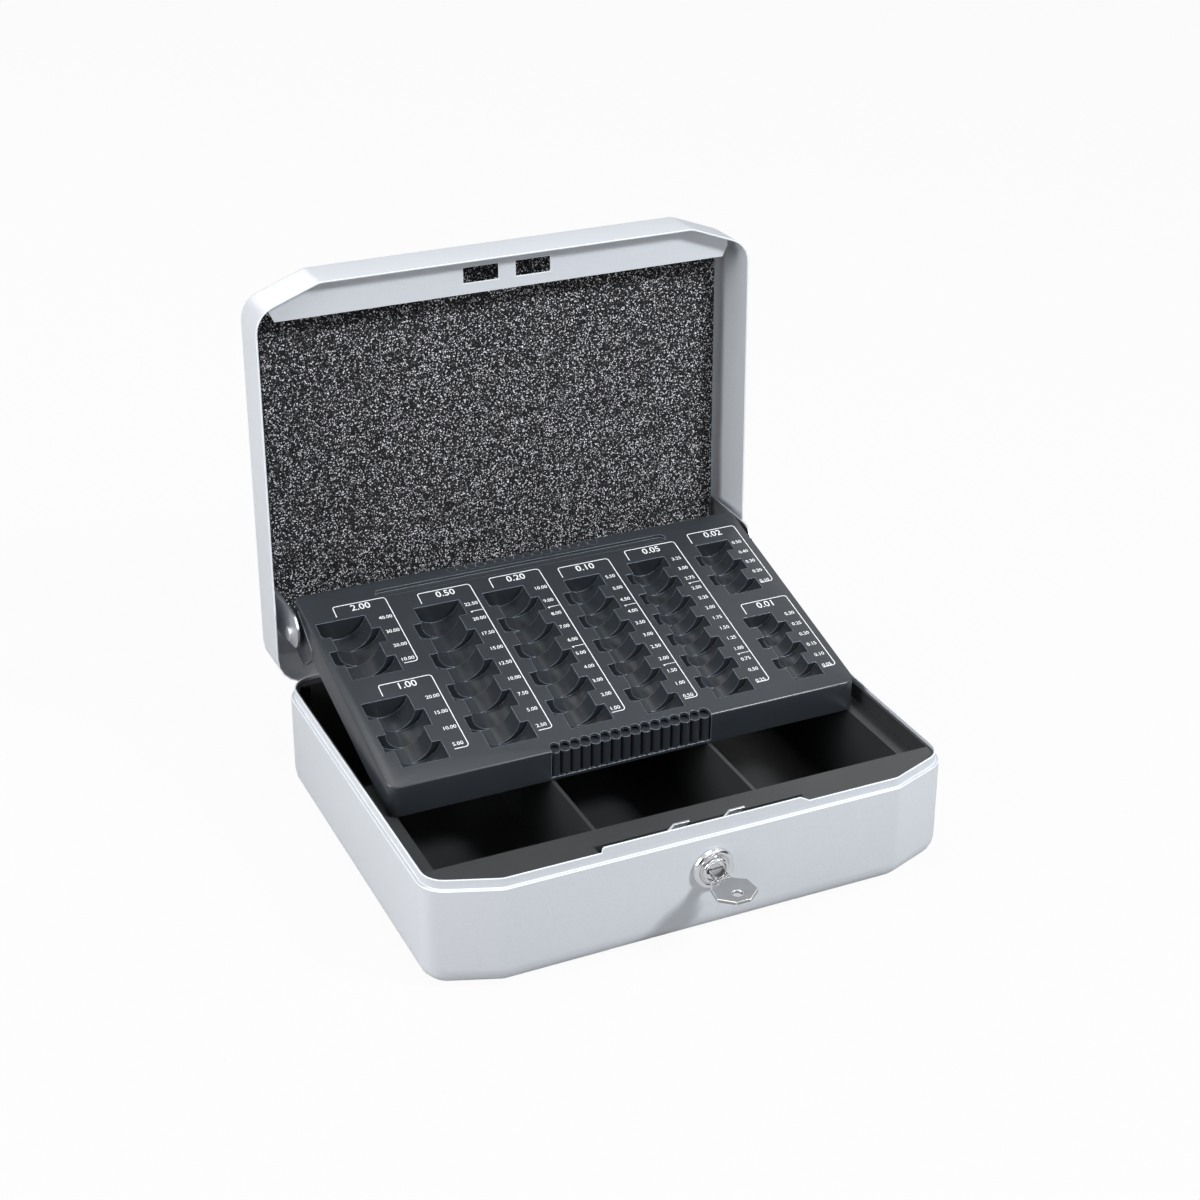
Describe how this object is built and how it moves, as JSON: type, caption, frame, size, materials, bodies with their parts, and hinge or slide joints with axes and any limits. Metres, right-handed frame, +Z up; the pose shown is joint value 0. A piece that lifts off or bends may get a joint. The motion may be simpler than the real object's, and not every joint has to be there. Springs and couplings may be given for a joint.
{
  "type": "cash box",
  "caption": "Steel cash box standing open, with slanted front corners, a lift-up coin tray, a compartmented note insert, a cam lock with a claw bolt and a folding handle.",
  "frame": {"origin": "middle of the underside of the base", "axes": "X along the width, -Y to the lock side, +Z up; the lid stands open at rest"},
  "size_m": [0.283, 0.3079, 0.2765],
  "materials": {
    "painted_steel": "fine textured silver grey powder coat",
    "insert_plastic": "black, fine matt grain",
    "tray_plastic": "dark slate grey, satin matt",
    "foam": "black open foam with pale grey flecks",
    "zinc_steel": "bright zinc plate",
    "chrome_plate": "polished",
    "nickel_brass": "nickel plate, lightly worn",
    "black_paint": "black satin"
  },
  "bodies": {
    "base": {"base_shell": "painted_steel", "note_insert": "insert_plastic", "hinge_base_leaf_left": "painted_steel", "hinge_base_leaf_right": "painted_steel", "hinge_pins": "zinc_steel", "lock_body": "chrome_plate", "lock_nut": "zinc_steel", "lock_bracket_left": "zinc_steel", "lock_bracket_right": "zinc_steel", "guide_studs": "zinc_steel"},
    "lid": {"lid_shell": "painted_steel", "lid_foam": "foam", "lid_strip": "painted_steel", "tray_ear_left": "zinc_steel", "tray_ear_right": "zinc_steel", "tray_pivots": "zinc_steel", "hinge_lid_leaf_left": "painted_steel", "hinge_lid_leaf_right": "painted_steel", "handle_bracket_left": "zinc_steel", "handle_bracket_right": "zinc_steel", "handle_rivets": "zinc_steel"},
    "tray": {"coin_tray": "tray_plastic"},
    "plug": {"lock_plug": "chrome_plate", "lock_cam": "zinc_steel"},
    "bolt": {"lock_bolt": "zinc_steel"},
    "key": {"key": "nickel_brass"},
    "handle": {"carry_handle": "black_paint"}
  },
  "joints": [
    {"name": "lid_hinge", "type": "hinge", "parent": "base", "child": "lid", "pos_m": [0, 0.1143, 0.0498], "axis": [1, 0, 0], "range_deg": [0, 91]},
    {"name": "tray_pivot", "type": "hinge", "parent": "lid", "child": "tray", "pos_m": [0, 0.1142, 0.086], "axis": [1, 0, 0], "range_deg": [-105.8, 0]},
    {"name": "plug_turn", "type": "hinge", "parent": "base", "child": "plug", "pos_m": [0.002, -0.1125, 0.038], "axis": [0, 1, 0], "range_deg": [0, 91]},
    {"name": "bolt_slide", "type": "slide", "parent": "base", "child": "bolt", "axis": [0.7071, 0, 0.7071], "range_m": [0, 0.00848]},
    {"name": "key_pull", "type": "slide", "parent": "plug", "child": "key", "axis": [0, -1, 0], "range_m": [0, 0.028]},
    {"name": "handle_swing", "type": "hinge", "parent": "lid", "child": "handle", "pos_m": [0, 0.15905, 0.17834], "axis": [1, 0, 0], "range_deg": [0, 90]}
  ],
  "couplings": [
    {"joint": "tray_pivot", "follows": "lid_hinge", "ratio": -1.1615},
    {"joint": "plug_turn", "follows": "bolt_slide", "rad_per_m": 185.12}
  ]
}
